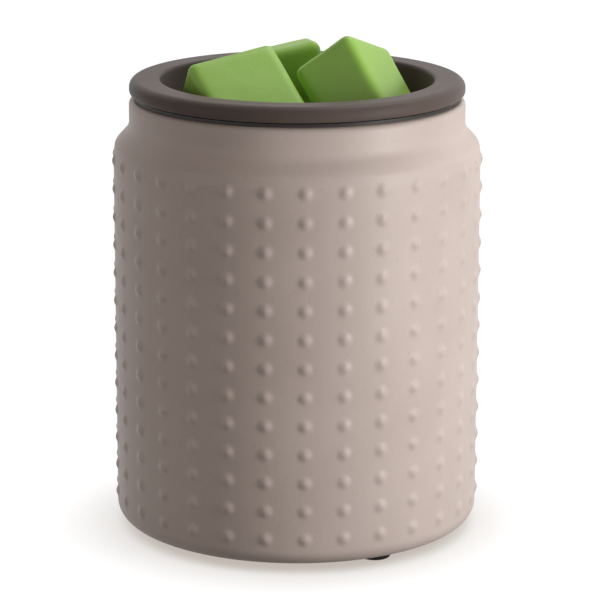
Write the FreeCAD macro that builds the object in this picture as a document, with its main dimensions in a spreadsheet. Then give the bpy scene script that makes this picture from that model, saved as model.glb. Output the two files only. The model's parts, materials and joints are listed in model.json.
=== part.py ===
import FreeCAD, Part
import math
import os
import Sketcher

# Home wax warmer: dotted ceramic jar, heater cup with its hot plate, lift-out dish and wax melts.
# Millimetres, +Z up, z = 0 on the table under the feet, -Y to the front, +X to the right.

doc = FreeCAD.newDocument("wax_warmer")
sheet = doc.addObject("Spreadsheet::Sheet", "sizes")
Vec = FreeCAD.Vector


class Size:
    """A length or angle held both as a number and as the formula that gives it."""

    def __init__(self, text, value):
        self.text = text
        self.value = value

    def _join(self, sign, other, value):
        return Size("(%s %s %s)" % (self.text, sign, as_size(other).text), value)

    def __add__(self, other):
        return self._join("+", other, self.value + as_size(other).value)

    def __sub__(self, other):
        return self._join("-", other, self.value - as_size(other).value)

    def __mul__(self, other):
        return self._join("*", other, self.value * as_size(other).value)

    def __truediv__(self, other):
        return self._join("/", other, self.value / as_size(other).value)

    def __neg__(self):
        return Size("(0 - %s)" % self.text, -self.value)


def as_size(thing):
    return thing if isinstance(thing, Size) else Size(repr(thing), float(thing))


def sine(angle):
    return Size("sin(%s * 1 deg)" % angle.text, math.sin(math.radians(angle.value)))


def cosine(angle):
    return Size("cos(%s * 1 deg)" % angle.text, math.cos(math.radians(angle.value)))


# Driving sizes, one row each
SIZES = (
    ("jar_lift", "2.2", "jar bottom above the table"),
    ("jar_height", "120.5", "jar bottom to lip"),
    ("jar_wall", "4.5", "jar wall thickness"),
    ("neck_radius", "46.9", "neck outside"),
    ("shoulder_out", "4.9", "jar wall outside the neck"),
    ("neck_wall", "4.4", "neck wall thickness"),
    ("neck_height", "8.4", "lip down to the flare"),
    ("flare_drop", "5.2", "height of the flare"),
    ("flare_round", "4", "hollow round at the neck's foot"),
    ("shoulder_round", "7", "round over the shoulder"),
    ("lip_round", "1.7", "lip edges"),
    ("base_round", "4.5", "bottom edge"),
    ("jar_floor", "7.6", "thickness of the jar's bottom ring"),
    ("recess_inset", "5.6", "jar wall to the recess for the base plate"),
    ("recess_depth", "3.6", "depth of that recess"),
    ("seat_width", "4.2", "ring in the jar's bottom that the base plate seats on"),
    ("dot_columns", "30", "dots round the jar"),
    ("dot_rows", "13", "rows of dots"),
    ("dot_pitch", "8", "row spacing"),
    ("dot_drop", "3", "shoulder corner down to the first row"),
    ("dot_turn", "2.56", "first column, degrees from the front"),
    ("dot_radius", "2.1", "dot radius at the wall"),
    ("dot_height", "0.55", "dot height off the wall"),
    ("dot_clear", "0.3", "dots to the flat for the grommet"),
    ("rim_inset", "0.1", "dish rim inside the neck's outside"),
    ("rim_width", "8.5", "dish rim, outside to inner edge"),
    ("rim_height", "4.3", "dish rim"),
    ("rim_gap", "0.3", "rim above the cup's flange"),
    ("rim_round", "2.4", "rim's outer top edge"),
    ("rim_inner_round", "1.5", "rim's inner edge"),
    ("dish_depth", "24.1", "rim top to dish floor"),
    ("dish_taper", "4.3", "lean of the dish wall, rim to floor"),
    ("dish_wall", "2.2", "dish wall"),
    ("dish_floor", "2", "dish floor"),
    ("dish_round", "3.5", "dish floor to wall"),
    ("seal_thick", "0.3", "ring between cup flange and lip"),
    ("seal_inset", "0.4", "ring inside the flange's edge"),
    ("flange_thick", "0.7", "cup flange"),
    ("flange_inset", "1.5", "flange edge inside the neck's outside"),
    ("cup_gap", "0.3", "cup to neck"),
    ("cup_wall", "1", "cup wall"),
    ("cup_floor", "1.2", "cup floor"),
    ("cup_opening", "27", "radius of the opening in the cup floor"),
    ("hot_plate_gap", "1.7", "hot plate edge to cup wall"),
    ("hot_plate_thick", "2.5", "hot plate"),
    ("column_radius", "4", "spacer and pillar radius"),
    ("thread_radius", "1.5", "M3 thread"),
    ("thread_gap", "0.06", "radial play in a tapped hole"),
    ("hole_gap", "0.25", "radial play in a clear hole"),
    ("screw_head_radius", "2.8", "pan and countersunk heads"),
    ("screw_head_height", "1.8", "pan heads"),
    ("shield_height", "76", "heat shield above the table"),
    ("shield_gap", "7.3", "heat shield edge to the jar's inside"),
    ("shield_thick", "0.8", "heat shield"),
    ("stud_length", "8", "pillar stud above the shield"),
    ("stud_gap", "1.4", "pillar stud to plate screw, inside a spacer"),
    ("tap_depth", "14", "tapped depth in the pillars"),
    ("base_screw_length", "12", "base screws"),
    ("base_plate_gap", "0.25", "base plate edge to the recess"),
    ("base_plate_thick", "2.6", "base plate"),
    ("base_boss_height", "4", "column bosses on the base plate"),
    ("base_boss_radius", "5", "column bosses on the base plate"),
    ("gasket_thick", "0.5", "gasket on the base plate"),
    ("gasket_width", "3.7", "gasket ring width"),
    ("foot_radius", "4.5", "rubber foot"),
    ("foot_edge", "0.45", "foot to the base plate's edge"),
    ("foot_turn", "32", "first foot, degrees from the front"),
    ("foot_pocket", "0.6", "depth of the foot pockets"),
    ("foot_gap", "0.15", "foot to pocket wall"),
    ("foot_round", "0.8", "foot's bottom edge"),
    ("inlet_height", "14.5", "cord inlet above the table"),
    ("inlet_radius", "3.2", "bore of the cord inlet"),
    ("inlet_neck", "5", "grommet neck"),
    ("inlet_flange", "7", "grommet flanges"),
    ("inlet_flange_thick", "1.4", "grommet flanges"),
    ("inlet_gap", "0.3", "grommet to the jar"),
    ("inlet_set", "0.4", "flat for the inner flange, off the jar's inside"),
    ("spot_depth", "1.6", "flat cut in the jar for the grommet"),
    ("stack_long", "24", "heater stone along X"),
    ("stack_wide", "15", "heater stone along Y"),
    ("stone_thick", "2.4", "heater stone"),
    ("electrode_thick", "0.5", "electrodes"),
    ("mica_thick", "0.4", "insulating sheets"),
    ("mica_margin", "2.5", "insulating sheet past the stone"),
    ("tab_long", "7", "electrode tab past the stone"),
    ("tab_wide", "4.8", "electrode tab width"),
    ("clamp_thick", "1.2", "clamp bar"),
    ("clamp_wide", "13", "clamp bar along X"),
    ("clamp_foot", "9", "clamp bar foot along Y"),
    ("tapped_depth", "1.8", "blind tapped holes in the hot plate"),
    ("tapped_gap", "0.3", "screw end to the end of a blind hole"),
    ("fuse_place", "19", "fuse axis from the middle, along X"),
    ("fuse_radius", "2", "thermal fuse"),
    ("fuse_length", "11", "thermal fuse"),
    ("fuse_wire_radius", "0.5", "fuse wires"),
    ("fuse_wire_reach", "5", "fuse wires past the sleeve"),
    ("sleeve_thick", "0.3", "sleeve on the fuse"),
    ("sleeve_length", "15", "sleeve on the fuse"),
    ("sleeve_gap", "0.05", "sleeve to clip and hot plate"),
    ("clip_thick", "0.6", "fuse clip sheet"),
    ("clip_wide", "6", "fuse clip along Y"),
    ("clip_foot", "4.4", "fuse clip foot along X"),
    ("clip_thread", "1.2", "fuse clip screw thread"),
    ("clip_head_radius", "1.9", "fuse clip screw head"),
    ("clip_head_height", "1.4", "fuse clip screw head"),
    ("block_long", "22", "terminal block along X"),
    ("block_wide", "14", "terminal block along Y"),
    ("block_tall", "12", "terminal block"),
    ("block_place", "16", "terminal block middle behind the axis"),
    ("pole_half", "6", "poles each side of the middle"),
    ("wire_hole", "1.7", "wire holes in the block"),
    ("wire_hole_height", "5", "wire holes above the block's foot"),
    ("pole_screw_radius", "1.4", "terminal screws"),
    ("pole_screw_gap", "0.05", "terminal screws above the leads"),
    ("block_tap", "2", "tapped depth under the block"),
    ("block_grip", "1.5", "block screw in the base plate"),
    ("block_reach", "4.5", "lead ends inside the block"),
    ("saddle_inset", "8", "cord saddle in from the bottom opening"),
    ("saddle_half", "9.5", "saddle screws each side"),
    ("saddle_long", "26", "saddle along X"),
    ("saddle_wide", "7", "saddle along Y"),
    ("saddle_tall", "5.5", "saddle"),
    ("post_radius", "3.4", "posts under the saddle"),
    ("post_tap", "7", "tapped depth in the posts"),
    ("saddle_grip", "6", "saddle screws in the posts"),
    ("lead_radius", "1.1", "insulated leads"),
    ("lead_bend", "5", "bend radius of the leads"),
    ("lead_slack", "0.35", "straight run of a lead between two bends"),
    ("lead_pitch", "3", "live lead below the fuse link"),
    ("neutral_pitch", "2", "neutral lead below the live lead"),
    ("crimp_radius", "1.8", "crimps on the fuse wires"),
    ("crimp_length", "6", "crimps on the fuse wires"),
    ("crimp_gap", "0.05", "wire and lead to the crimp"),
    ("crimp_clear", "3.5", "crimp side of a lead's first bend"),
    ("lead_end_gap", "0.1", "lead end to the end of the fuse wire"),
    ("pass_radius", "3.2", "holes for leads in the heat shield"),
    ("melt_round", "2.4", "wax melt edges"),
    ("melt_clear", "0.35", "wax melts above the dish floor"),
    ("melt_dish", "34", "dish floor radius that the table of melts is drawn for"),
)

NAMED = {}
for row, (alias, value, note) in enumerate(SIZES, 1):
    sheet.set("A%d" % row, note)
    sheet.set("B%d" % row, value)
    sheet.setAlias("B%d" % row, alias)
doc.recompute()
for alias, value, note in SIZES:
    NAMED[alias] = Size("sizes." + alias, float(sheet.get(alias)))


def s(alias):
    return NAMED[alias]


# Levels and radii that several pieces share
z_lip = s("jar_lift") + s("jar_height")
z_neck = z_lip - s("neck_height")
z_shoulder = z_neck - s("flare_drop")
z_seat = s("jar_lift") + s("recess_depth")
z_jar_floor = s("jar_lift") + s("jar_floor")
z_base_top = z_seat - s("gasket_thick")
z_base = z_base_top - s("base_plate_thick")
z_boss = z_base_top + s("base_boss_height")
z_flange = z_lip + s("seal_thick")
z_rim = z_flange + s("flange_thick") + s("rim_gap")
z_rim_top = z_rim + s("rim_height")
z_dish_floor = z_rim_top - s("dish_depth")
z_hot_top = z_dish_floor - s("dish_floor")
z_hot = z_hot_top - s("hot_plate_thick")
z_cup = z_hot - s("cup_floor")
z_shield = s("shield_height")
z_shield_top = z_shield + s("shield_thick")
screw_reach = z_cup - z_shield_top - s("stud_length") - s("stud_gap")
plate_screw_length = s("hot_plate_thick") + s("cup_floor") + screw_reach
jar_radius = s("neck_radius") + s("shoulder_out")
jar_inner = jar_radius - s("jar_wall")
recess_radius = jar_radius - s("recess_inset")
opening_radius = recess_radius - s("seat_width")
neck_bore = s("neck_radius") - s("neck_wall")
cup_outer = neck_bore - s("cup_gap")
cup_inner = cup_outer - s("cup_wall")
rim_radius = s("neck_radius") - s("rim_inset")
rim_inner = rim_radius - s("rim_width")
dish_floor_radius = rim_inner - s("dish_taper")
column_circle = (s("cup_opening") + cup_inner) / 2
tap_radius = s("thread_radius") + s("thread_gap")
clear_radius = s("thread_radius") + s("hole_gap")


# Helpers
def bind(obj, **formulas):
    for prop, size in formulas.items():
        obj.setExpression(prop.replace("__", "."), as_size(size).text)
    return obj


def place(obj, x, y, z):
    return bind(obj, Placement__Base__x=x, Placement__Base__y=y, Placement__Base__z=z)


def cylinder(label, radius, height, x, y, z, along="Z"):
    obj = doc.addObject("Part::Cylinder", label)
    if along == "Y":
        obj.Placement = FreeCAD.Placement(Vec(), FreeCAD.Rotation(Vec(1, 0, 0), -90))
    bind(obj, Radius=radius, Height=height)
    return place(obj, x, y, z)


def cone(label, low, high, height, x, y, z):
    obj = doc.addObject("Part::Cone", label)
    bind(obj, Radius1=low, Radius2=high, Height=height)
    return place(obj, x, y, z)


def box(label, long, wide, tall, x, y, z):
    """A box centred on x and y, standing on z."""
    obj = doc.addObject("Part::Box", label)
    bind(obj, Length=long, Width=wide, Height=tall)
    return place(obj, as_size(x) - as_size(long) / 2, as_size(y) - as_size(wide) / 2, z)


def group(label, members):
    obj = doc.addObject("Part::Compound", label)
    obj.Links = members
    return obj


def fuse(label, members):
    obj = doc.addObject("Part::MultiFuse", label)
    obj.Shapes = members
    obj.Refine = True
    return obj


def cut(label, base, tools):
    obj = doc.addObject("Part::Cut", label)
    obj.Base = base
    obj.Tool = tools[0] if len(tools) == 1 else group(label + "_tools", tools)
    obj.Refine = True
    return obj


def ring(count, radius, turn):
    """Points round the Z axis, turned from the front towards +X."""
    spots = []
    for k in range(count):
        angle = as_size(turn) + 360 * k / count
        spots.append((radius * sine(angle), -(radius * cosine(angle))))
    return spots


def circle_edges(shape, radius, height):
    found = []
    for number, edge in enumerate(shape.Edges, 1):
        if edge.Curve.TypeId != "Part::GeomCircle":
            continue
        near = abs(edge.Curve.Radius - radius.value) + abs(edge.Curve.Center.z - height.value)
        if near < 1e-4:
            found.append("Edge%d" % number)
    return found


def turned(label, corners, rounds=()):
    """A body turned about Z from (radius, height) corners, with rounded circular edges."""
    body = doc.addObject("PartDesign::Body", label)
    sketch = body.newObject("Sketcher::SketchObject", label + "_outline")
    plane = [f for f in body.Origin.OriginFeatures if f.Role == "XZ_Plane"][0]
    sketch.AttachmentSupport = [(plane, "")]
    sketch.MapMode = "FlatFace"
    count = len(corners)
    corners = [(as_size(r), as_size(z)) for r, z in corners]
    points = [Vec(r.value, z.value, 0) for r, z in corners]
    for k in range(count):
        sketch.addGeometry(Part.LineSegment(points[k], points[(k + 1) % count]), False)
    for k in range(count):
        sketch.addConstraint(Sketcher.Constraint("Coincident", k, 2, (k + 1) % count, 1))
    for k, (r, z) in enumerate(corners):
        for kind, axis, size in (("DistanceX", -2, r), ("DistanceY", -1, z)):
            if size.value == 0:
                sketch.addConstraint(Sketcher.Constraint("PointOnObject", k, 1, axis))
                continue
            datum = Sketcher.Constraint(kind, -1, 1, k, 1, size.value)
            number = sketch.addConstraint(datum)
            sketch.setExpression("Constraints[%d]" % number, size.text)
    step = body.newObject("PartDesign::Revolution", label + "_turn")
    step.Profile = sketch
    step.ReferenceAxis = (sketch, ["V_Axis"])
    step.Angle = 360
    doc.recompute()
    for number, (r, z, radius) in enumerate(rounds):
        edges = circle_edges(step.Shape, as_size(r), as_size(z))
        last = step
        step = body.newObject("PartDesign::Fillet", "%s_round%d" % (label, number))
        step.Base = (last, edges)
        bind(step, Radius=radius)
        doc.recompute()
    return body


def melt(label, sides, middle, turns):
    """A wax melt: a rounded block lying at a slant in the dish."""
    body = doc.addObject("PartDesign::Body", label)
    block = body.newObject("PartDesign::AdditiveBox", label + "_block")
    fit = dish_floor_radius / s("melt_dish")
    long, wide, tall = [fit * side for side in sides]
    bind(block, Length=long, Width=wide, Height=tall)
    place(block, -(long / 2), -(wide / 2), -(tall / 2))
    doc.recompute()
    edges = body.newObject("PartDesign::Fillet", label + "_edges")
    edges.Base = (block, ["Edge%d" % k for k in range(1, 13)])
    bind(edges, Radius=s("melt_round"))
    x, y, rise = middle
    body.Placement = FreeCAD.Placement(Vec(), FreeCAD.Rotation(*turns))
    return place(body, fit * x, fit * y, z_dish_floor + s("melt_clear") + fit * rise)


def lead(label, points):
    """A round wire along straight runs joined by tangent arcs."""
    points = [Vec(*[as_size(c).value for c in p]) for p in points]
    bend = s("lead_bend").value
    edges = []
    start = points[0]
    for before, corner, after in zip(points, points[1:], points[2:]):
        back = (before - corner).normalize()
        ahead = (after - corner).normalize()
        half = back.getAngle(ahead) / 2
        reach = bend / math.tan(half)
        inside = (back + ahead).normalize()
        middle = corner + inside * (bend / math.sin(half) - bend)
        edges.append(Part.makeLine(start, corner + back * reach))
        edges.append(Part.Arc(corner + back * reach, middle, corner + ahead * reach).toShape())
        start = corner + ahead * reach
    edges.append(Part.makeLine(start, points[-1]))
    path = Part.Wire(edges)
    ring_face = Part.Wire(Part.makeCircle(s("lead_radius").value, points[0], points[1] - points[0]))
    obj = doc.addObject("Part::Feature", label)
    obj.Shape = path.makePipeShell([ring_face], True, False)
    obj.Placement = FreeCAD.Placement()
    return obj


columns = ring(3, column_circle, as_size(0))
parts = {}

# Ceramic jar: turned shell, grommet hole with its flat, and rows of dots
shell = turned(
    "jar_shell",
    [
        (recess_radius, s("jar_lift")),
        (jar_radius, s("jar_lift")),
        (jar_radius, z_shoulder),
        (s("neck_radius"), z_neck),
        (s("neck_radius"), z_lip),
        (neck_bore, z_lip),
        (neck_bore, z_neck - s("neck_wall") / 3),
        (jar_inner, z_shoulder - s("jar_wall") / 3),
        (jar_inner, z_jar_floor),
        (opening_radius, z_jar_floor),
        (opening_radius, z_seat),
        (recess_radius, z_seat),
    ],
    [
        (jar_radius, s("jar_lift"), s("base_round")),
        (s("neck_radius"), z_neck, s("flare_round")),
        (jar_radius, z_shoulder, s("shoulder_round")),
        (s("neck_radius"), z_lip, s("lip_round")),
        (neck_bore, z_lip, s("lip_round") / 2),
        (jar_inner, z_jar_floor, s("base_round")),
    ],
)
spot_radius = s("inlet_flange") + s("inlet_gap")
y_spot = jar_radius - s("spot_depth")
spot = cylinder("jar_spot", spot_radius, s("spot_depth") + 5, 0, y_spot, s("inlet_height"), "Y")
y_inner_spot = jar_inner - s("inlet_set")
bore = cylinder(
    "jar_bore", s("inlet_neck") + s("inlet_gap"), y_spot - y_inner_spot + s("inlet_flange") + 1,
    0, y_inner_spot - s("inlet_flange"), s("inlet_height"), "Y",
)
inner_spot = cylinder(
    "jar_inner_spot", spot_radius, s("inlet_flange"), 0, y_inner_spot - s("inlet_flange"),
    s("inlet_height"), "Y",
)
shell_cut = cut("jar_shell_cut", shell, [spot, bore, inner_spot])
doc.recompute()


def dots():
    """The dots as separate domes sunk into the wall, left out round the grommet."""
    radius = s("dot_radius").value
    height = s("dot_height").value
    sink = 1.5
    edge = -0.1
    rise = height - edge
    ball = (radius * radius + rise * rise) / (2 * rise)
    bulge = radius * 0.6
    bulge_z = height - ball + math.sqrt(ball * ball - bulge * bulge)
    outline = Part.Wire([
        Part.makeLine(Vec(0, 0, -sink), Vec(radius, 0, -sink)),
        Part.makeLine(Vec(radius, 0, -sink), Vec(radius, 0, edge)),
        Part.Arc(Vec(radius, 0, edge), Vec(bulge, 0, bulge_z), Vec(0, 0, height)).toShape(),
        Part.makeLine(Vec(0, 0, height), Vec(0, 0, -sink)),
    ])
    dome = Part.Face(outline).revolve(Vec(), Vec(0, 0, 1), 360)
    wall = jar_radius.value
    top = (z_shoulder - s("dot_drop")).value
    keep_off = spot_radius.value + radius + s("dot_clear").value
    domes = []
    for column in range(int(s("dot_columns").value)):
        turn = math.radians(s("dot_turn").value + 360 * column / s("dot_columns").value)
        out = Vec(math.sin(turn), -math.cos(turn), 0)
        for row in range(int(s("dot_rows").value)):
            spot_at = out * wall + Vec(0, 0, top - row * s("dot_pitch").value)
            if out.y > 0 and math.hypot(spot_at.x, spot_at.z - s("inlet_height").value) < keep_off:
                continue
            copy = dome.copy()
            copy.Placement = FreeCAD.Placement(spot_at, FreeCAD.Rotation(Vec(0, 0, 1), out))
            domes.append(copy)
    return Part.makeCompound(domes)


jar_dots = doc.addObject("Part::Feature", "jar_dots")
jar_dots.Shape = dots()
jar_dots.Placement = FreeCAD.Placement()
parts["ceramic_jar"] = fuse("ceramic_jar", [shell_cut, jar_dots])
parts["ceramic_jar"].Refine = False

# Dish that lifts out of the cup
wall_slope = (rim_inner - dish_floor_radius) / s("dish_depth")
outer_at_rim = rim_inner + s("dish_wall") - wall_slope * s("rim_height")
outer_at_floor = dish_floor_radius + s("dish_wall") - wall_slope * s("dish_floor")
parts["silicone_dish"] = turned(
    "silicone_dish",
    [
        (0, z_hot_top),
        (outer_at_floor, z_hot_top),
        (outer_at_rim, z_rim),
        (rim_radius, z_rim),
        (rim_radius, z_rim_top),
        (rim_inner, z_rim_top),
        (dish_floor_radius, z_dish_floor),
        (0, z_dish_floor),
    ],
    [
        (rim_radius, z_rim_top, s("rim_round")),
        (rim_radius, z_rim, s("rim_round") / 4),
        (rim_inner, z_rim_top, s("rim_inner_round")),
        (dish_floor_radius, z_dish_floor, s("dish_round")),
        (outer_at_floor, z_hot_top, s("dish_round") / 2),
    ],
)

# Wax melts: sides, middle (x, y, height over the dish floor), yaw pitch and roll
MELTS = (
    ("wax_melt_left", (26.5, 29.0, 16.5), (-13.9, -9.73, 16.35), (27.08, -9.44, -139.14)),
    ("wax_melt_middle", (17.0, 28.2, 12.0), (-0.3, 23.25, 15.2), (-166.18, 10.65, -87.73)),
    ("wax_melt_right", (26.5, 26.0, 19.6), (17.63, 0.25, 18.27), (61.31, 16.94, -128.54)),
)
for label, sides, middle, turns in MELTS:
    parts[label] = melt(label, sides, middle, turns)

# Cup that hangs in the neck, with its seal
flange_radius = s("neck_radius") - s("flange_inset")
cup = turned(
    "cup_shell",
    [
        (s("cup_opening"), z_cup),
        (cup_outer, z_cup),
        (cup_outer, z_flange),
        (flange_radius, z_flange),
        (flange_radius, z_flange + s("flange_thick")),
        (cup_inner, z_flange + s("flange_thick")),
        (cup_inner, z_hot),
        (s("cup_opening"), z_hot),
    ],
)
cup_holes = [
    cylinder("cup_hole%d" % k, clear_radius, s("cup_floor") + 2, x, y, z_cup - 1)
    for k, (x, y) in enumerate(columns)
]
parts["heater_cup"] = cut("heater_cup", cup, cup_holes)
parts["cup_seal"] = turned(
    "cup_seal",
    [
        (neck_bore + s("lip_round"), z_lip),
        (flange_radius - s("seal_inset"), z_lip),
        (flange_radius - s("seal_inset"), z_flange),
        (neck_bore + s("lip_round"), z_flange),
    ],
)

# Hot plate: countersunk holes over the columns, blind tapped holes underneath
stone_x, stone_y = s("stack_long"), s("stack_wide")
clamp_y = stone_y / 2 + s("mica_margin") + 1 + s("clamp_thick") + s("clamp_foot") / 2
sleeve_radius = s("fuse_radius") + s("sleeve_thick")
clip_half = sleeve_radius + s("sleeve_gap")
clip_x = s("fuse_place") + clip_half + s("clip_thick") + s("clip_foot") / 2
sink_height = s("screw_head_radius") - s("thread_radius")
disc = cylinder("hot_disc", cup_inner - s("hot_plate_gap"), s("hot_plate_thick"), 0, 0, z_hot)
hot_tools = []
for k, (x, y) in enumerate(columns):
    hot_tools.append(cylinder("hot_hole%d" % k, clear_radius, s("hot_plate_thick") + 2, x, y, z_hot - 1))
    hot_tools.append(cone(
        "hot_sink%d" % k, clear_radius, s("screw_head_radius") + s("hole_gap") + 1,
        sink_height + 1, x, y, z_hot_top - sink_height,
    ))
for k, y in enumerate((clamp_y, -clamp_y)):
    hot_tools.append(cylinder("hot_tap%d" % k, tap_radius, s("tapped_depth") + 1, 0, y, z_hot - 1))
hot_tools.append(cylinder(
    "hot_tap_clip", s("clip_thread") + s("thread_gap"), s("tapped_depth") + 1, clip_x, 0, z_hot - 1
))
parts["hot_plate"] = cut("hot_plate", disc, hot_tools)

plate_screws = []
for k, (x, y) in enumerate(columns):
    z_head = z_hot_top - sink_height
    shank_length = plate_screw_length - sink_height
    shank = cylinder(
        "plate_shank%d" % k, s("thread_radius"), shank_length, x, y, z_head - shank_length
    )
    head = cone(
        "plate_head%d" % k, s("thread_radius"), s("screw_head_radius"), sink_height, x, y, z_head
    )
    plate_screws.append(fuse("plate_screw%d" % k, [shank, head]))
parts["plate_screws"] = group("plate_screws", plate_screws)

# Heater stack under the hot plate, hung from the top down
z_mica = z_hot - s("mica_thick")
z_live = z_mica - s("electrode_thick")
z_stone = z_live - s("stone_thick")
z_neutral = z_stone - s("electrode_thick")
z_low_mica = z_neutral - s("mica_thick")
mica_x = stone_x + s("mica_margin") * 2
mica_y = stone_y + s("mica_margin") * 2
parts["upper_mica"] = box("upper_mica", mica_x, mica_y, s("mica_thick"), 0, 0, z_mica)
parts["ptc_stone"] = box("ptc_stone", stone_x, stone_y, s("stone_thick"), 0, 0, z_stone)
parts["lower_mica"] = box("lower_mica", mica_x, mica_y, s("mica_thick"), 0, 0, z_low_mica)
tab_x = -(stone_x / 2 + s("tab_long") / 2)
tab_y = stone_y / 4
for label, side, z in (("live_electrode", -1, z_live), ("neutral_electrode", 1, z_neutral)):
    sheet_box = box(label + "_sheet", stone_x, stone_y, s("electrode_thick"), 0, 0, z)
    tab = box(
        label + "_tab", s("tab_long") + 2, s("tab_wide"), s("electrode_thick"),
        tab_x + 1, tab_y * side, z,
    )
    parts[label] = fuse(label, [sheet_box, tab])

z_clamp = z_low_mica - s("clamp_thick")
leg_y = mica_y / 2 + 1 + s("clamp_thick") / 2
bars = [box(
    "clamp_middle", s("clamp_wide"), leg_y * 2 + s("clamp_thick"), s("clamp_thick"), 0, 0, z_clamp
)]
for k, side in enumerate((1, -1)):
    bars.append(box(
        "clamp_leg%d" % k, s("clamp_wide"), s("clamp_thick"), z_hot - z_clamp, 0, leg_y * side, z_clamp
    ))
    bars.append(box(
        "clamp_foot%d" % k, s("clamp_wide"), s("clamp_foot") + s("clamp_thick"), s("clamp_thick"),
        0, (clamp_y - s("clamp_thick") / 2) * side, z_hot - s("clamp_thick"),
    ))
clamp_holes = [
    cylinder("clamp_hole%d" % k, clear_radius, s("clamp_thick") + 2, 0, y, z_hot - s("clamp_thick") - 1)
    for k, y in enumerate((clamp_y, -clamp_y))
]
parts["clamp_bar"] = cut("clamp_bar", fuse("clamp_strip", bars), clamp_holes)


def pan_screw(label, thread, head_radius, head_height, length, x, y, z_bearing):
    """A screw driven upwards, its head under z_bearing."""
    shank = cylinder(label + "_shank", thread, length, x, y, z_bearing)
    head = cylinder(label + "_head", head_radius, head_height, x, y, z_bearing - head_height)
    return fuse(label, [shank, head])


def down_screw(label, thread, head_radius, head_height, length, x, y, z_bearing):
    """A screw driven downwards, its head on z_bearing."""
    shank = cylinder(label + "_shank", thread, length, x, y, z_bearing - length)
    head = cylinder(label + "_head", head_radius, head_height, x, y, z_bearing)
    return fuse(label, [shank, head])


clamp_reach = s("clamp_thick") + s("tapped_depth") - s("tapped_gap")
parts["clamp_screws"] = group("clamp_screws", [
    pan_screw(
        "clamp_screw%d" % k, s("thread_radius"), s("screw_head_radius"), s("screw_head_height"),
        clamp_reach, 0, y, z_hot - s("clamp_thick"),
    )
    for k, y in enumerate((clamp_y, -clamp_y))
])

# Thermal fuse in its sleeve, held under the hot plate by a clip
z_fuse = z_hot - sleeve_radius - s("sleeve_gap")
fuse_x = s("fuse_place")
wire_length = s("sleeve_length") + s("fuse_wire_reach") * 2
parts["thermal_fuse"] = fuse("thermal_fuse", [
    cylinder("fuse_body", s("fuse_radius"), s("fuse_length"), fuse_x, -(s("fuse_length") / 2), z_fuse, "Y"),
    cylinder("fuse_wires", s("fuse_wire_radius"), wire_length, fuse_x, -(wire_length / 2), z_fuse, "Y"),
])
sleeve_y = -(s("sleeve_length") / 2)
parts["fuse_sleeve"] = cut(
    "fuse_sleeve",
    cylinder("sleeve_tube", sleeve_radius, s("sleeve_length"), fuse_x, sleeve_y, z_fuse, "Y"),
    [cylinder("sleeve_bore", s("fuse_radius"), s("sleeve_length") + 2, fuse_x, sleeve_y - 1, z_fuse, "Y")],
)
z_clip = z_fuse - clip_half - s("clip_thick")
clip_walls = [
    box("clip_wall%d" % k, s("clip_thick"), s("clip_wide"), z_hot - z_clip,
        fuse_x + (clip_half + s("clip_thick") / 2) * side, 0, z_clip)
    for k, side in enumerate((1, -1))
]
clip_floor = box(
    "clip_floor", (clip_half + s("clip_thick")) * 2, s("clip_wide"), s("clip_thick"), fuse_x, 0, z_clip
)
clip_foot = box(
    "clip_foot_sheet", s("clip_foot") + s("clip_thick"), s("clip_wide"), s("clip_thick"),
    clip_x - s("clip_thick") / 2, 0, z_hot - s("clip_thick"),
)
parts["fuse_clip"] = cut(
    "fuse_clip",
    fuse("clip_strip", clip_walls + [clip_floor, clip_foot]),
    [cylinder("clip_hole", s("clip_thread") + s("hole_gap"), s("clip_thick") + 2,
              clip_x, 0, z_hot - s("clip_thick") - 1)],
)
parts["fuse_clip_screw"] = pan_screw(
    "fuse_clip_screw", s("clip_thread"), s("clip_head_radius"), s("clip_head_height"),
    s("clip_thick") + s("tapped_depth") - s("tapped_gap"), clip_x, 0, z_hot - s("clip_thick"),
)

# Columns that pull the cup and the base plate together, with the heat shield between them
spacers = []
pillars = []
for k, (x, y) in enumerate(columns):
    rod = cylinder("spacer_rod%d" % k, s("column_radius"), z_cup - z_shield_top, x, y, z_shield_top)
    tap = cylinder("spacer_tap%d" % k, tap_radius, z_cup - z_shield_top + 2, x, y, z_shield_top - 1)
    spacers.append(cut("spacer%d" % k, rod, [tap]))
    rod = cylinder("pillar_rod%d" % k, s("column_radius"), z_shield - z_boss, x, y, z_boss)
    stud = cylinder(
        "pillar_stud%d" % k, s("thread_radius"), s("shield_thick") + s("stud_length") + 1,
        x, y, z_shield - 1,
    )
    tap = cylinder("pillar_tap%d" % k, tap_radius, s("tap_depth") + 1, x, y, z_boss - 1)
    pillars.append(cut("pillar%d" % k, fuse("pillar_blank%d" % k, [rod, stud]), [tap]))
parts["upper_spacers"] = group("upper_spacers", spacers)
parts["lower_pillars"] = group("lower_pillars", pillars)

lead_in_x = s("pole_half")
shield_holes = [
    cylinder("shield_hole%d" % k, clear_radius, s("shield_thick") + 2, x, y, z_shield - 1)
    for k, (x, y) in enumerate(columns)
]
y_rise = s("block_place") - s("block_wide") / 2 - s("lead_bend") - 7
for k, side in enumerate((1, -1)):
    shield_holes.append(cylinder(
        "shield_pass%d" % k, s("pass_radius"), s("shield_thick") + 2,
        lead_in_x * side, y_rise, z_shield - 1,
    ))
shield_disc = cylinder(
    "shield_disc", jar_inner - s("shield_gap"), s("shield_thick"), 0, 0, z_shield
)
parts["heat_shield"] = cut("heat_shield", shield_disc, shield_holes)

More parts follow.
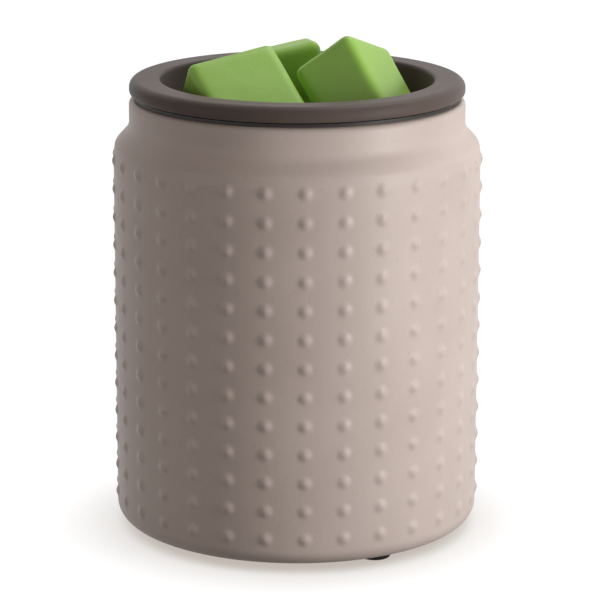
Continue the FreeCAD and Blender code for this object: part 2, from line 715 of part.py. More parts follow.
# Base plate with bosses, foot pockets, saddle posts and its gasket
base_radius = recess_radius - s("base_plate_gap")
feet = ring(3, base_radius - s("foot_radius") - s("foot_edge"), s("foot_turn"))
foot_height = z_base + s("foot_pocket")
z_saddle = s("inlet_height")
saddle_y = opening_radius - s("saddle_inset")
base_solids = [cylinder("base_disc", base_radius, s("base_plate_thick"), 0, 0, z_base)]
base_tools = []
for k, (x, y) in enumerate(columns):
    base_solids.append(cylinder(
        "base_boss%d" % k, s("base_boss_radius"), s("base_boss_height") + 1, x, y, z_base_top - 1
    ))
    base_tools.append(cylinder(
        "base_hole%d" % k, clear_radius, s("base_plate_thick") + s("base_boss_height") + 2, x, y, z_base - 1
    ))
    base_tools.append(cylinder(
        "base_bore%d" % k, s("screw_head_radius") + s("hole_gap"), s("base_boss_height"), x, y, z_base - 1
    ))
for k, (x, y) in enumerate(feet):
    base_tools.append(cylinder(
        "base_pocket%d" % k, s("foot_radius") + s("foot_gap"), s("foot_pocket") + 1, x, y, z_base - 1
    ))
for k, side in enumerate((1, -1)):
    base_solids.append(cylinder(
        "base_post%d" % k, s("post_radius"), z_saddle - z_base_top + 1,
        s("saddle_half") * side, saddle_y, z_base_top - 1,
    ))
    base_tools.append(cylinder(
        "base_post_tap%d" % k, tap_radius, s("post_tap") + 1, s("saddle_half") * side, saddle_y,
        z_saddle - s("post_tap"),
    ))
cradle_top = z_saddle - s("inlet_radius")
base_solids.append(box(
    "base_cradle", s("inlet_radius") * 2, s("saddle_wide"), cradle_top - z_base_top + 1,
    0, saddle_y, z_base_top - 1,
))
base_tools.append(cylinder(
    "base_block_tap", tap_radius, s("block_tap") + 1, 0, s("block_place"), z_base_top - s("block_tap"),
))
parts["base_plate"] = cut("base_plate", fuse("base_blank", base_solids), base_tools)
parts["base_gasket"] = turned(
    "base_gasket",
    [
        (base_radius - s("gasket_width"), z_base_top),
        (base_radius, z_base_top),
        (base_radius, z_seat),
        (base_radius - s("gasket_width"), z_seat),
    ],
)
z_bore_top = z_base - 1 + s("base_boss_height")
parts["base_screws"] = group("base_screws", [
    pan_screw(
        "base_screw%d" % k, s("thread_radius"), s("screw_head_radius"), s("screw_head_height"),
        s("base_screw_length"), x, y, z_bore_top,
    )
    for k, (x, y) in enumerate(columns)
])


def foot(label, x, y):
    body = turned(
        label,
        [(0, 0), (s("foot_radius"), 0), (s("foot_radius"), foot_height), (0, foot_height)],
        [(s("foot_radius"), as_size(0), s("foot_round"))],
    )
    return place(body, x, y, 0)


parts["rubber_feet"] = group("rubber_feet", [foot("foot%d" % k, x, y) for k, (x, y) in enumerate(feet)])

# Grommet in the jar's back wall, where the mains cord comes in
grommet_length = y_spot - y_inner_spot + s("inlet_flange_thick") * 2
y_grommet = y_inner_spot - s("inlet_flange_thick")
parts["cord_grommet"] = cut(
    "cord_grommet",
    fuse("grommet_blank", [
        cylinder("grommet_neck", s("inlet_neck"), grommet_length, 0, y_grommet, z_saddle, "Y"),
        cylinder("grommet_inner", s("inlet_flange"), s("inlet_flange_thick"), 0, y_grommet, z_saddle, "Y"),
        cylinder("grommet_outer", s("inlet_flange"), s("inlet_flange_thick"), 0, y_spot, z_saddle, "Y"),
    ]),
    [cylinder("grommet_bore", s("inlet_radius"), grommet_length + 2, 0, y_grommet - 1, z_saddle, "Y")],
)

# Cord saddle on the base plate's posts
saddle_bar = box(
    "saddle_bar", s("saddle_long"), s("saddle_wide"), s("saddle_tall"), 0, saddle_y, z_saddle
)
saddle_tools = [cylinder(
    "saddle_arch", s("inlet_radius"), s("saddle_wide") + 2, 0, saddle_y - s("saddle_wide") / 2 - 1,
    z_saddle, "Y",
)]
for k, side in enumerate((1, -1)):
    saddle_tools.append(cylinder(
        "saddle_hole%d" % k, clear_radius, s("saddle_tall") + 2, s("saddle_half") * side, saddle_y,
        z_saddle - 1,
    ))
parts["cord_saddle"] = cut("cord_saddle", saddle_bar, saddle_tools)
parts["saddle_screws"] = group("saddle_screws", [
    down_screw(
        "saddle_screw%d" % k, s("thread_radius"), s("screw_head_radius"), s("screw_head_height"),
        s("saddle_tall") + s("saddle_grip"), s("saddle_half") * side, saddle_y,
        z_saddle + s("saddle_tall"),
    )
    for k, side in enumerate((1, -1))
])

# Terminal block with its screws
block_y = s("block_place")
block_front = block_y - s("block_wide") / 2
z_wire = z_base_top + s("wire_hole_height")
z_block_top = z_base_top + s("block_tall")
block_box = box("block_body", s("block_long"), s("block_wide"), s("block_tall"), 0, block_y, z_base_top)
block_tools = [cylinder("block_fix", clear_radius, s("block_tall") + 2, 0, block_y, z_base_top - 1)]
pole_screws = []
for k, side in enumerate((1, -1)):
    block_tools.append(cylinder(
        "block_wire%d" % k, s("wire_hole"), s("block_wide") + 2, s("pole_half") * side, block_front - 1,
        z_wire, "Y",
    ))
    for j, row in enumerate((1, -1)):
        y = block_y + s("block_wide") / 4 * row
        block_tools.append(cylinder(
            "block_well%d%d" % (k, j), s("pole_screw_radius") + s("hole_gap"), s("block_tall"),
            s("pole_half") * side, y, z_wire,
        ))
        pole_screws.append(cylinder(
            "pole_screw%d%d" % (k, j), s("pole_screw_radius"), z_block_top - z_wire - s("lead_radius") - 1,
            s("pole_half") * side, y, z_wire + s("lead_radius") + s("pole_screw_gap"),
        ))
parts["terminal_block"] = cut("terminal_block", block_box, block_tools)
parts["terminal_screws"] = group("terminal_screws", pole_screws)
parts["block_screw"] = down_screw(
    "block_screw", s("thread_radius"), s("screw_head_radius"), s("screw_head_height"),
    s("block_tall") + s("block_grip"), 0, block_y, z_block_top,
)

# Leads from the block to the fuse and the electrodes, joined to the fuse wires by crimps
lead_start = block_front + s("block_reach")
wire_end = wire_length / 2 + s("lead_end_gap")
turn_y = wire_end + s("lead_bend") + s("crimp_clear")
z_link_run = z_fuse - s("lead_bend") * 2 - s("lead_slack")
z_live_run = z_link_run - s("lead_pitch")
z_neutral_run = z_live_run - s("neutral_pitch")
tab_mid = tab_x - 1
parts["live_lead"] = lead("live_lead", [
    (lead_in_x, lead_start, z_wire),
    (lead_in_x, y_rise, z_wire),
    (lead_in_x, y_rise, z_live_run),
    (fuse_x, -turn_y, z_live_run),
    (fuse_x, -turn_y, z_fuse),
    (fuse_x, -wire_end, z_fuse),
])
parts["fuse_link"] = lead("fuse_link", [
    (fuse_x, wire_end, z_fuse),
    (fuse_x, turn_y, z_fuse),
    (fuse_x, turn_y, z_link_run),
    (tab_mid, -tab_y, z_link_run),
    (tab_mid, -tab_y, z_live),
])
parts["neutral_lead"] = lead("neutral_lead", [
    (-lead_in_x, lead_start, z_wire),
    (-lead_in_x, y_rise, z_wire),
    (-lead_in_x, y_rise, z_neutral_run),
    (tab_mid, tab_y, z_neutral_run),
    (tab_mid, tab_y, z_neutral),
])
crimps = []
for k, side in enumerate((1, -1)):
    low_end = wire_end * side - s("crimp_length") / 2
    tube = cylinder("crimp_tube%d" % k, s("crimp_radius"), s("crimp_length"), fuse_x, low_end, z_fuse, "Y")
    thin = cylinder(
        "crimp_thin%d" % k, s("fuse_wire_radius") + s("crimp_gap"), s("crimp_length") + 2,
        fuse_x, low_end - 1, z_fuse, "Y",
    )
    thick_y = wire_end * side - s("lead_end_gap") if side > 0 else low_end - 1
    thick = cylinder(
        "crimp_thick%d" % k, s("lead_radius") + s("crimp_gap"),
        s("crimp_length") / 2 + s("lead_end_gap") + 1, fuse_x, thick_y, z_fuse, "Y",
    )
    crimps.append(cut("crimp%d" % k, tube, [thin, thick]))
parts["crimps"] = group("crimps", crimps)

doc.recompute()
for obj in doc.Objects:
    if "Invalid" in obj.State or "Error" in obj.State:
        raise RuntimeError("%s is %s" % (obj.Label, obj.State))
os.makedirs("parts", exist_ok=True)
for label, obj in parts.items():
    if obj.Shape.isNull() or not obj.Shape.isValid():
        raise RuntimeError("bad shape: " + label)
    obj.Label = label
    obj.Shape.exportStep("parts/%s.step" % label)
    print(label, len(obj.Shape.Solids), round(obj.Shape.Volume, 1))
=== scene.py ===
import json
import math

import bpy
import numpy as np
from mathutils import Matrix, Vector, noise


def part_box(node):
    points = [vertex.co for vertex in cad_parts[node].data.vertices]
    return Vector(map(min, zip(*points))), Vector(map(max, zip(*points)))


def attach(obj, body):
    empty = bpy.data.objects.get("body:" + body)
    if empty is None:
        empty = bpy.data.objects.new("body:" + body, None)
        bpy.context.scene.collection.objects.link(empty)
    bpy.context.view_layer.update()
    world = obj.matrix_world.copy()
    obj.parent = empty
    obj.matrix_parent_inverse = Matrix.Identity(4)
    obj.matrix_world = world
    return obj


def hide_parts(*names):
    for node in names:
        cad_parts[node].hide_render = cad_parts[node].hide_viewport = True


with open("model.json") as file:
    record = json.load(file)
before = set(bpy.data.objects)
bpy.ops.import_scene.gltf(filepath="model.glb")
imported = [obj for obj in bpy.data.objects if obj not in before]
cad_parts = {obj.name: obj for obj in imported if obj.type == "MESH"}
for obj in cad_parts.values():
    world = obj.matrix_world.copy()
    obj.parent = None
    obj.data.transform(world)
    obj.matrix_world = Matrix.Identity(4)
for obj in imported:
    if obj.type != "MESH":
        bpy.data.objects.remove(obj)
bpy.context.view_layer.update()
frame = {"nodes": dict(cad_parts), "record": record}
nodes = frame["nodes"]
mm = 0.001  # sizes below are written in millimetres
print("frame loaded,", len(nodes), "nodes")


class Wire:  # a shader socket that takes plain maths
    def __init__(self, finish, socket):
        self.finish = finish
        self.socket = socket

    def maths(self, operation, first, second):
        return self.finish.add("ShaderNodeMath", {0: first, 1: second}, operation=operation)

    def __add__(self, other):
        return self.maths("ADD", self, other)

    def __radd__(self, other):
        return self.maths("ADD", other, self)

    def __sub__(self, other):
        return self.maths("SUBTRACT", self, other)

    def __rsub__(self, other):
        return self.maths("SUBTRACT", other, self)

    def __mul__(self, other):
        return self.maths("MULTIPLY", self, other)

    def __rmul__(self, other):
        return self.maths("MULTIPLY", other, self)

    def __truediv__(self, other):
        return self.maths("DIVIDE", self, other)

    def __rtruediv__(self, other):
        return self.maths("DIVIDE", other, self)


class Finish:  # the nodes of a material, or of the world
    def __init__(self, owner, output="ShaderNodeOutputMaterial"):
        owner.use_nodes = True
        self.owner = owner
        self.tree = owner.node_tree
        self.tree.nodes.clear()
        self.output = self.tree.nodes.new(output)

    def add(self, kind, inputs=None, out=0, **settings):  # any node, with its links
        node = self.tree.nodes.new(kind)
        for key, value in settings.items():
            setattr(node, key, value)
        for key, value in (inputs or {}).items():
            self.plug(node.inputs[key], value)
        return Wire(self, node.outputs[out])

    def plug(self, socket, value):
        if isinstance(value, Wire):
            self.tree.links.new(value.socket, socket)
        elif isinstance(value, tuple) and len(value) == 3 and socket.type == "RGBA":
            socket.default_value = (*value, 1)
        else:
            socket.default_value = value

    def place(self):  # object coordinates, which are the frame's
        return self.add("ShaderNodeTexCoord", out="Object")

    def grain(self, size, detail):  # soft noise, about size metres across
        return self.add("ShaderNodeTexNoise", {
            "Vector": self.place(), "Scale": 1 / size, "Detail": detail, "Roughness": 0.5,
        })

    def blend(self, amount, low, high):  # a colour between two
        return self.add("ShaderNodeMix", {0: amount, 6: low, 7: high}, out=2, data_type="RGBA")

    def span(self, value, low, high, top=1.0):  # 0 at low, top at high
        return self.add("ShaderNodeMapRange", {0: value, 1: low, 2: high, 3: 0.0, 4: top})

    def bump(self, height, depth):
        return self.add("ShaderNodeBump", {"Height": height, "Distance": depth, "Strength": 1.0})

    def close(self, **inputs):  # the usual surface
        named = {key.replace("_", " "): value for key, value in inputs.items()}
        return self.show(self.add("ShaderNodeBsdfPrincipled", named))

    def show(self, shader):
        self.plug(self.output.inputs[0], shader)
        return self.owner


def newFinish(name):
    return Finish(bpy.data.materials.new(name))


# ceramic of the jar
ceramicLook = {
    "colour": (0.595, 0.507, 0.47),
    "pale": (0.635, 0.547, 0.51),
    "speck": (0.43, 0.35, 0.305),
    "speckSize": 1.1 * mm,
    "speckRange": (0.70, 0.78),
    "speckShare": 0.35,
    "roughness": 0.44,
    "roughVary": 0.16,
    "specular": 0.27,
    "cloud": 26 * mm,
    "cloudRange": (0.35, 0.65),
    "cloudSwell": 2,
    "grit": 0.55 * mm,
    "gritDepth": 0.02 * mm,
}


def ceramicFinish(look):
    paint = newFinish("ceramic")
    cloud = paint.grain(look["cloud"], 3)
    grit = paint.grain(look["grit"], 2)
    speck = paint.span(paint.grain(look["speckSize"], 1), *look["speckRange"], look["speckShare"])
    colour = paint.blend(paint.span(cloud, *look["cloudRange"]), look["colour"], look["pale"])
    colour = paint.blend(speck, colour, look["speck"])
    return paint.close(
        Base_Color=colour,
        Roughness=look["roughness"] + (grit - 0.5) * look["roughVary"],
        Normal=paint.bump(grit + cloud * look["cloudSwell"], look["gritDepth"]),
        Specular_IOR_Level=look["specular"],
    )


# rubbery pieces: dish, seal, feet, grommet and gasket
rubberLook = {
    "cloud": 18 * mm,
    "cloudRange": (0.3, 0.7),
    "grit": 0.4 * mm,
    "gritDepth": 0.015 * mm,
    "cloudVary": 0.12,
    "gritVary": 0.1,
    "specular": 0.09,
    "dustRoughness": 0.4,
    "dustTint": (1.0, 0.93, 0.87),
}


def rubberFinish(name, colour, pale, roughness, dust=0.0, look=rubberLook):
    paint = newFinish(name)
    cloud = paint.grain(look["cloud"], 3)
    grit = paint.grain(look["grit"], 2)
    return paint.close(
        Base_Color=paint.blend(paint.span(cloud, *look["cloudRange"]), colour, pale),
        Roughness=roughness + (cloud - 0.5) * look["cloudVary"] + (grit - 0.5) * look["gritVary"],
        Normal=paint.bump(grit, look["gritDepth"]),
        Specular_IOR_Level=look["specular"],
        Sheen_Weight=dust,
        Sheen_Roughness=look["dustRoughness"],
        Sheen_Tint=look["dustTint"],
    )


# wax of the melts, with a pale frost as on cast wax
waxLook = {
    "colour": (0.335, 0.605, 0.095),
    "pale": (0.39, 0.67, 0.13),
    "frost": (0.47, 0.70, 0.23),
    "frostShare": 0.18,
    "frostSize": 3.5 * mm,
    "frostRange": (0.45, 0.75),
    "frostRough": 0.12,
    "roughness": 0.42,
    "specular": 0.32,
    "cloud": 14 * mm,
    "cloudSwell": 6,
    "grit": 0.9 * mm,
    "gritDepth": 0.03 * mm,
    "glow": 0.35,
    "glowColour": (0.8, 1.0, 0.4),
    "glowDepth": 2.2 * mm,
}


def waxFinish(look):
    paint = newFinish("wax")
    cloud = paint.grain(look["cloud"], 3)
    frost = paint.span(paint.grain(look["frostSize"], 4), *look["frostRange"])
    grit = paint.grain(look["grit"], 2)
    colour = paint.blend(cloud, look["colour"], look["pale"])
    return paint.close(
        Base_Color=paint.blend(frost * look["frostShare"], colour, look["frost"]),
        Roughness=look["roughness"] + frost * look["frostRough"],
        Normal=paint.bump(cloud * look["cloudSwell"] + grit, look["gritDepth"]),
        Subsurface_Weight=look["glow"],
        Subsurface_Radius=look["glowColour"],
        Subsurface_Scale=look["glowDepth"],
        Specular_IOR_Level=look["specular"],
    )


# moulded and cast pieces: plastic, mica, heater stone, sleeve and leads
plasticLook = {
    "cloud": 20 * mm,
    "grit": 0.5 * mm,
    "gritDepth": 0.02 * mm,
    "roughVary": 0.2,
    "specular": 0.25,
}


def plasticFinish(name, colour, pale, roughness, look=plasticLook):
    paint = newFinish(name)
    grit = paint.grain(look["grit"], 3)
    cloud = paint.grain(look["cloud"], 2)
    return paint.close(
        Base_Color=paint.blend(cloud, colour, pale),
        Roughness=roughness + (grit - 0.5) * look["roughVary"],
        Normal=paint.bump(grit, look["gritDepth"]),
        Specular_IOR_Level=look["specular"],
    )


# metal pieces: brushed, or turned about the jar's axis where rings has a pitch
metalLook = {
    "cloud": 9 * mm,
    "cloudRange": (0.3, 0.7),
    "brush": 900.0,
    "brushDepth": 0.01 * mm,
    "brushVary": 0.25,
    "ringShare": 0.6,
    "ringWander": 1.5,
}


def metalFinish(name, colour, dull, roughness, stretch=(1, 1, 1), rings=0, look=metalLook):
    paint = newFinish(name)
    drawn = paint.add("ShaderNodeMapping", {"Vector": paint.place(), "Scale": stretch})
    marks = paint.add("ShaderNodeTexNoise", {"Vector": drawn, "Scale": look["brush"], "Detail": 3.0})
    cloud = paint.grain(look["cloud"], 4)
    if rings:
        lathe = paint.add("ShaderNodeTexWave", {
            "Vector": paint.place(), "Scale": math.pi / 10 / rings,  # a wave repeats each pi / 10
            "Distortion": look["ringWander"], "Detail": 2.0,
        }, out=1, wave_type="RINGS", rings_direction="Z")
        marks = marks * (1 - look["ringShare"]) + lathe * look["ringShare"]
    return paint.close(
        Base_Color=paint.blend(paint.span(cloud, *look["cloudRange"]), colour, dull),
        Metallic=1.0,
        Roughness=roughness + (marks - 0.5) * look["brushVary"],
        Normal=paint.bump(marks, look["brushDepth"]),
    )


finishes = {  # by the record's slot: name, two colours, roughness and what else that kind takes
    "ceramic": ceramicFinish(ceramicLook),
    "silicone_dark": rubberFinish("dishRubber", (0.112, 0.086, 0.078), (0.126, 0.098, 0.088), 0.46, 0.1),
    "black_rubber": rubberFinish("footRubber", (0.018, 0.017, 0.016), (0.03, 0.028, 0.027), 0.6),
    "wax": waxFinish(waxLook),
    "black_plastic": plasticFinish("blackPlastic", (0.02, 0.019, 0.018), (0.03, 0.029, 0.028), 0.5),
    "aluminium": metalFinish("hotPlateMetal", (0.62, 0.62, 0.63), (0.57, 0.57, 0.58), 0.36, rings=1.1 * mm),
    "steel": metalFinish("zincSteel", (0.60, 0.60, 0.61), (0.48, 0.48, 0.50), 0.38, stretch=(1, 1, 6)),
    "fuse_metal": metalFinish("fuseMetal", (0.72, 0.71, 0.69), (0.6, 0.59, 0.57), 0.3),
    "brass": metalFinish("brass", (0.78, 0.58, 0.26), (0.62, 0.45, 0.2), 0.32),
    "mica": plasticFinish("mica", (0.50, 0.40, 0.26), (0.62, 0.52, 0.36), 0.4),
    "stone": plasticFinish("heaterStone", (0.10, 0.10, 0.11), (0.15, 0.15, 0.16), 0.7),
    "white_ceramic": plasticFinish("blockCeramic", (0.78, 0.76, 0.71), (0.86, 0.85, 0.81), 0.3),
    "sleeve": plasticFinish("glassSleeve", (0.68, 0.64, 0.54), (0.78, 0.75, 0.66), 0.75),
    "lead_brown": plasticFinish("brownLead", (0.20, 0.085, 0.03), (0.26, 0.12, 0.05), 0.45),
    "lead_blue": plasticFinish("blueLead", (0.03, 0.13, 0.42), (0.05, 0.18, 0.5), 0.45),
}
slotOf = {entry["node"]: entry["material_slot"] for entry in frame["record"]["subparts"]}
for name, node in nodes.items():
    node.data.materials.clear()
    node.data.materials.append(finishes[slotOf[name]])
print("finishes on the CAD nodes")


def meshPiece(name, points, faces, slot, body, standsFor):
    mesh = bpy.data.meshes.new(name)
    mesh.from_pydata(points.tolist(), [], faces.tolist())
    mesh.validate()
    mesh.shade_smooth()
    mesh.materials.append(finishes[slot])
    piece = bpy.data.objects.new(name, mesh)
    bpy.context.scene.collection.objects.link(piece)
    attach(piece, body)
    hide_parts(standsFor)
    return piece


def roundedLine(corners, step):  # corners are (radius, height, round); gives points along the line
    line = []
    for k, (r, z, bend) in enumerate(corners):
        here = Vector((r, z))
        if bend == 0:
            line.append(here)
            continue
        back = (Vector(corners[k - 1][:2]) - here).normalized()
        ahead = (Vector(corners[k + 1][:2]) - here).normalized()
        half = back.angle(ahead) / 2
        middle = here + (back + ahead).normalized() * (bend / math.sin(half))
        first = here + back * (bend / math.tan(half)) - middle
        last = here + ahead * (bend / math.tan(half)) - middle
        swing = first.angle_signed(last)
        parts = max(3, int(abs(swing) * bend / step) + 1)
        for j in range(parts + 1):
            turn = Matrix.Rotation(-swing * j / parts, 2)
            line.append(middle + turn @ first)
    fine = [line[0]]
    for start, end in zip(line, line[1:]):
        pieces = max(1, round((end - start).length / step))
        fine += [start.lerp(end, (j + 1) / pieces) for j in range(pieces)]
    return np.array([tuple(p) for p in fine])


def turnedGrid(line, around):  # points and quads of a line turned about Z
    turn = np.arange(around) * 2 * math.pi / around
    radius = line[:, 0][:, None]
    points = np.stack([
        radius * np.sin(turn), -radius * np.cos(turn), np.repeat(line[:, 1][:, None], around, 1),
    ], -1)
    ring = np.arange(around)
    nextRing = (ring + 1) % around
    quads = []
    for k in range(len(line) - 1):
        low, high = k * around, (k + 1) * around
        quads.append(np.stack([low + ring, low + nextRing, high + nextRing, high + ring], -1))
    return points, np.concatenate(quads)


# ceramic jar: turned skin with raised dots, and its plainer inside
jarLow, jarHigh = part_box("ceramic_jar")
jarLook = {
    "wall": 51.8 * mm,
    "inside": 47.3 * mm,
    "neck": 46.9 * mm,
    "neckInside": 42.5 * mm,
    "neckHeight": 8 * mm,
    "flareDrop": 5.2 * mm,
    "flareRound": 5 * mm,
    "shoulderRound": 7 * mm,
    "lipRound": 1.7 * mm,
    "baseRound": 4.5 * mm,
    "recess": 46.2 * mm,
    "recessDepth": 3.6 * mm,
    "opening": 42 * mm,
    "floor": 7.6 * mm,
    "stepIn": 0.5 * mm,
    "stepFall": 2.8 * mm,
    "stepAbove": 1.2 * mm,
    "dotColumns": 30,
    "dotRows": 13,
    "dotPitch": 8 * mm,
    "dotDrop": 3.4 * mm,
    "dotTurn": 2.56,
    "dotRadius": 2.5 * mm,
    "dotHeight": 0.64 * mm,
    "dotSoft": 2.6,
    "dotClear": 2.4 * mm,
    "inletHeight": 14.5 * mm,
    "inletSpot": 7.3 * mm,
    "inletBore": 5.3 * mm,
    "spotDepth": 1.6 * mm,
    "around": 600,
    "step": 0.5 * mm,
    "insideAround": 150,
    "insideStep": 2 * mm,
    "insideDrop": 1.5 * mm,
}


def dotRise(points, top, look):  # how far the dots stand out at each point of the skin
    turn = np.degrees(np.arctan2(points[..., 0], -points[..., 1])) - look["dotTurn"]
    gap = 360 / look["dotColumns"]
    aside = np.radians((turn + gap / 2) % gap - gap / 2) * look["wall"]
    row = np.clip(np.round((top - points[..., 2]) / look["dotPitch"]), 0, look["dotRows"] - 1)
    height = top - row * look["dotPitch"]
    away = points[..., 2] - height
    reach = np.clip(1 - (aside ** 2 + away ** 2) / look["dotRadius"] ** 2, 0, 1)
    column = np.radians(np.round(turn / gap) * gap + look["dotTurn"])
    fromInlet = np.hypot(np.sin(column) * look["wall"], height - look["inletHeight"])
    keep = (np.cos(column) > 0) | (fromInlet > look["inletSpot"] + look["dotClear"])
    return look["dotHeight"] * reach ** look["dotSoft"] * keep


def jarSkin(low, neckFoot, shoulder, lip, look):
    line = roundedLine([
        (look["recess"], low, 0),
        (look["wall"], low, look["baseRound"]),
        (look["wall"], shoulder, look["shoulderRound"]),
        (look["neck"], neckFoot, look["flareRound"]),
        (look["neck"], lip, look["lipRound"]),
        (look["neckInside"] + look["lipRound"], lip, 0),
    ], look["step"])
    points, quads = turnedGrid(line, look["around"])
    below = np.clip((shoulder + look["stepAbove"] - points[..., 2]) / look["stepFall"], 0, 1)
    step = look["stepIn"] * below ** 2 * (3 - 2 * below)  # the shoulder stands a little proud of the wall
    rise = dotRise(points, shoulder - look["dotDrop"], look) - step
    swell = 1 + rise / np.hypot(points[..., 0], points[..., 1])
    points[..., :2] *= swell[..., None]
    spot = np.hypot(points[..., 0], points[..., 2] - look["inletHeight"])
    flat = (points[..., 1] > 0) & (spot < look["inletSpot"])  # where the grommet sits
    points[..., 1] = np.where(
        flat, np.minimum(points[..., 1], look["wall"] - look["spotDepth"]), points[..., 1])
    return points.reshape(-1, 3), quads


def jarInside(low, neckFoot, shoulder, lip, look):
    line = roundedLine([
        (look["neckInside"] + look["lipRound"], lip, 0),
        (look["neckInside"], lip, look["lipRound"] / 2),
        (look["neckInside"], neckFoot - look["insideDrop"], 0),
        (look["inside"], shoulder - look["insideDrop"], 0),
        (look["inside"], low + look["floor"], look["baseRound"]),
        (look["opening"], low + look["floor"], 0),
        (look["opening"], low + look["recessDepth"], 0),
        (look["recess"], low + look["recessDepth"], 0),
        (look["recess"], low, 0),
    ], look["insideStep"])
    points, quads = turnedGrid(line, look["insideAround"])
    return points.reshape(-1, 3), quads


def ceramicJar(look):
    low, lip = jarLow.z, jarHigh.z
    neckFoot = lip - look["neckHeight"]
    shoulder = neckFoot - look["flareDrop"]
    skinPoints, skinQuads = jarSkin(low, neckFoot, shoulder, lip, look)
    insidePoints, insideQuads = jarInside(low, neckFoot, shoulder, lip, look)
    points = np.concatenate([skinPoints, insidePoints])
    quads = np.concatenate([skinQuads, insideQuads + len(skinPoints)])
    middles = points[quads].mean(1)
    bored = np.hypot(middles[:, 0], middles[:, 2] - look["inletHeight"]) < look["inletBore"]
    kept = quads[~(bored & (middles[:, 1] > look["opening"]))]
    meshPiece("jar", points, kept, "ceramic", "warmer", "ceramic_jar")


ceramicJar(jarLook)
print("jar")

# soft dish, with its rolled rim
dishLow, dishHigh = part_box("silicone_dish")
dishLook = {
    "rim": 46.8 * mm,
    "rimWidth": 8.5 * mm,
    "rimHeight": 4.3 * mm,
    "rimRound": 2.3 * mm,
    "rimLip": 1.1 * mm,
    "innerRound": 0.8 * mm,
    "depth": 24.1 * mm,
    "floorRadius": 34 * mm,
    "wall": 2.2 * mm,
    "floor": 2 * mm,
    "floorRound": 3.5 * mm,
    "middle": 0.01 * mm,
    "around": 240,
    "step": 0.6 * mm,
}


def softDish(look):
    base, top = dishLow.z, dishHigh.z
    rimInner = look["rim"] - look["rimWidth"]
    slope = (rimInner - look["floorRadius"]) / look["depth"]
    rimBase = top - look["rimHeight"]
    line = roundedLine([
        (look["middle"], base, 0),
        (look["floorRadius"] + look["wall"] - slope * look["floor"], base, look["floorRound"] / 2),
        (rimInner + look["wall"] - slope * look["rimHeight"], rimBase, 0),
        (look["rim"], rimBase, look["rimLip"]),
        (look["rim"], top, look["rimRound"]),
        (rimInner, top, look["innerRound"]),
        (look["floorRadius"], base + look["floor"], look["floorRound"]),
        (look["middle"], base + look["floor"], 0),
    ], look["step"])
    points, quads = turnedGrid(line, look["around"])
    meshPiece("dish", points.reshape(-1, 3), quads, "silicone_dark", "dish", "silicone_dish")


softDish(dishLook)
print("dish")

# wax melts: rounded blocks that lie as the CAD ones do
meltLook = {
    "edge": 2.4 * mm,
    "grid": 26,
    "ripple": 0.16 * mm,
    "rippleSize": 9 * mm,
    "rippleShift": (7, 3, 1),
    "weld": 0.01 * mm,
}
meltPlaces = {  # sides in millimetres, then turns about Z, Y and X in degrees
    "left": ((26.5, 29.0, 16.5), (27.08, -9.44, -139.14)),
    "middle": ((17.0, 28.2, 12.0), (-166.18, 10.65, -87.73)),
    "right": ((26.5, 26.0, 19.6), (61.31, 16.94, -128.54)),
}


def cubeGrid(count):  # points and quads of a cube from -1 to 1, with closer rows by its edges
    ease = np.sin(np.linspace(-1, 1, count + 1) * math.pi / 2)
    across = np.stack(np.meshgrid(ease, ease, indexing="ij"), -1)
    grid = np.arange((count + 1) ** 2).reshape(count + 1, count + 1)
    points, faces = [], []
    for axis in range(3):
        for way in (-1, 1):
            face = np.empty((count + 1, count + 1, 3))
            face[..., axis] = way
            face[..., (axis + 1) % 3] = across[..., 0]
            face[..., (axis + 2) % 3] = across[..., 1]
            quads = np.stack([grid[:-1, :-1], grid[1:, :-1], grid[1:, 1:], grid[:-1, 1:]], -1)
            faces.append(quads[..., ::way].reshape(-1, 4) + len(points) * (count + 1) ** 2)
            points.append(face.reshape(-1, 3))
    return np.concatenate(points), np.concatenate(faces)


def waxMelt(side, look):
    sides, turns = meltPlaces[side]
    low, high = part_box("wax_melt_" + side)
    half = np.array(sides) * mm / 2
    core = half - look["edge"]
    unit, faces = cubeGrid(look["grid"])
    points = unit * half
    inner = np.clip(points, -core, core)
    out = points - inner
    out /= np.linalg.norm(out, axis=1, keepdims=True)
    soft = inner + out * look["edge"]
    shift = Vector(look["rippleShift"]) * len(side)  # another ripple on each melt
    lumps = [noise.noise(Vector(p) / look["rippleSize"] + shift) for p in soft]
    soft -= out * (np.abs(np.array(lumps))[:, None] * look["ripple"])
    spin = Matrix.Identity(3)
    for turn, axis in zip(turns, "ZYX"):
        spin = spin @ Matrix.Rotation(math.radians(turn), 3, axis)
    soft = soft @ np.array(spin).T + np.array((low + high) / 2)
    piece = meshPiece("melt_" + side, soft, faces, "wax", "melt_" + side, "wax_melt_" + side)
    weld = piece.modifiers.new("weld", "WELD")
    weld.merge_threshold = look["weld"]


for side in meltPlaces:
    waxMelt(side, meltLook)
print("wax melts")

# studio floor: white to the camera, with a painted shadow near the jar, where its glow darkens by ambient
# occlusion
floorLook = {
    "half": 6,  # metres
    "white": 1.14,
    "paint": (0.95, 0.95, 0.95),
    "paintShare": 0.12,
    "paintedShadow": (0.60, 0.54, 0.49),
    "shadeReach": 28 * mm,
    "shadeRange": (0.1, 0.92),
    "shadeSamples": 24,
    "bounce": (0.18, 0.16, 0.144),
}


def seenRays(finish):  # camera, glossy and transmission rays see the white
    rays = ("Is Camera Ray", "Is Glossy Ray", "Is Transmission Ray")
    camera, glossy, through = (finish.add("ShaderNodeLightPath", out=ray) for ray in rays)
    return finish.add("ShaderNodeMath", {0: camera + glossy + through, 1: 1.0}, operation="MINIMUM")


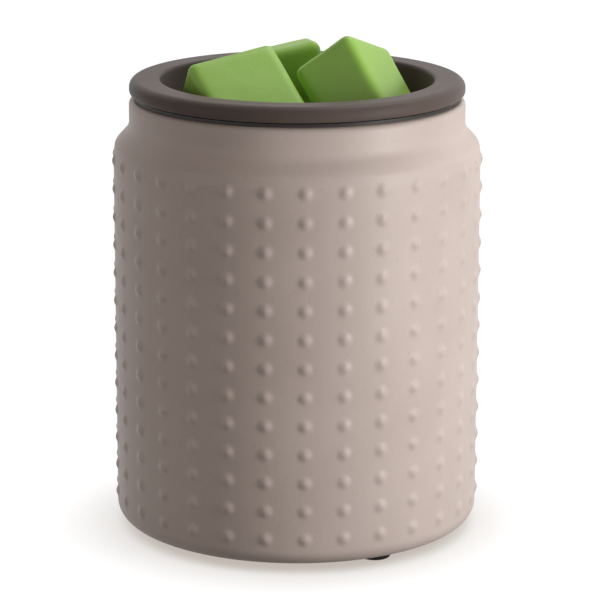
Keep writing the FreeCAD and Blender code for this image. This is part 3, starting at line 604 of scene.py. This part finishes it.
def studioFloor(look):
    paint = newFinish("floor")
    # painted shadow: the glow fades from the shadow colour near the jar to white further off
    near = paint.add("ShaderNodeAmbientOcclusion", {"Distance": look["shadeReach"]}, out="AO",
                     samples=look["shadeSamples"])
    white = paint.blend(paint.span(near, *look["shadeRange"]), look["paintedShadow"], (look["white"],) * 3)
    glow = paint.add("ShaderNodeEmission", {"Color": white})
    caught = paint.add("ShaderNodeBsdfDiffuse", {"Color": look["paint"]})
    shown = paint.add("ShaderNodeMixShader", {0: look["paintShare"], 1: glow, 2: caught})
    hidden = paint.add("ShaderNodeBsdfDiffuse", {"Color": look["bounce"]})
    paint.show(paint.add("ShaderNodeMixShader", {0: seenRays(paint), 1: hidden, 2: shown}))
    half = look["half"]
    corners = [(-half, -half, 0), (half, -half, 0), (half, half, 0), (-half, half, 0)]
    mesh = bpy.data.meshes.new("floor")
    mesh.from_pydata(corners, [], [(0, 1, 2, 3)])
    mesh.materials.append(paint.owner)
    floor = bpy.data.objects.new("floor", mesh)
    bpy.context.scene.collection.objects.link(floor)


studioFloor(floorLook)
print("floor")

# lamps: a near one at the front right, a fill at the front left, and one high behind
lampLook = {
    "colour": (1.0, 0.985, 0.97),
    "aimHeight": 70 * mm,
}
lampPlaces = {  # watts, turn from the front and rise in degrees, distance and sides in metres
    "key": {"power": 0.62, "turn": 56, "rise": 8, "far": 0.3, "sides": (0.1, 0.18)},
    "fill": {"power": 1.15, "turn": -60, "rise": 8, "far": 1.0, "sides": (0.4, 0.4)},
    "top": {"power": 4.1, "turn": 140, "rise": 62, "far": 1.0, "sides": (0.4, 0.4)},
}


def studioLamp(name, look):
    place = lampPlaces[name]
    lamp = bpy.data.lights.new(name, "AREA")
    lamp.energy = place["power"]
    lamp.shape = "RECTANGLE"
    lamp.size, lamp.size_y = place["sides"]
    lamp.color = look["colour"]
    light = bpy.data.objects.new(name, lamp)
    bpy.context.scene.collection.objects.link(light)
    turn = math.radians(place["turn"])
    rise = math.radians(place["rise"])
    aim = Vector((math.sin(turn) * math.cos(rise), -math.cos(turn) * math.cos(rise), math.sin(rise)))
    light.location = Vector((0, 0, look["aimHeight"])) + aim * place["far"]
    light.rotation_euler = aim.to_track_quat("Z", "Y").to_euler()
    light.visible_camera = False


for name in lampPlaces:
    studioLamp(name, lampLook)
print("lamps")

# sky: white to the camera, and a dim warm light on the pieces
skyLook = {
    "colour": (1.0, 0.87, 0.76),
    "strength": 0.168,
}


def studioSky(look):
    air = Finish(bpy.data.worlds.new("sky"), "ShaderNodeOutputWorld")
    dim = air.add("ShaderNodeBackground", {"Color": look["colour"], "Strength": look["strength"]})
    white = air.add("ShaderNodeBackground", {"Color": (1, 1, 1), "Strength": 1.0})
    bpy.context.scene.world = air.show(
        air.add("ShaderNodeMixShader", {0: seenRays(air), 1: dim, 2: white}))


studioSky(skyLook)
print("sky")

# camera where the photograph was taken from
cameraLook = {
    "back": 810.3 * mm,
    "height": 271.6 * mm,
    "pitch": 14.35,
    "roll": 0.15,
    "yaw": 0.065,
    "lens": 176.98,
    "sensor": 36,
    "clip": (0.01, 50),
}


def photoCamera(look):
    data = bpy.data.cameras.new("camera")
    data.lens = look["lens"]
    data.sensor_width = look["sensor"]
    data.clip_start, data.clip_end = look["clip"]
    camera = bpy.data.objects.new("camera", data)
    bpy.context.scene.collection.objects.link(camera)
    aim = Matrix.Rotation(-math.radians(look["yaw"]), 4, "Z")
    aim = aim @ Matrix.Rotation(math.radians(90 - look["pitch"]), 4, "X")
    aim = aim @ Matrix.Rotation(math.radians(look["roll"]), 4, "Z")
    camera.matrix_world = Matrix.Translation((0, -look["back"], look["height"])) @ aim
    bpy.context.scene.camera = camera


photoCamera(cameraLook)
bpy.context.scene.view_settings.view_transform = "Standard"

print("done")
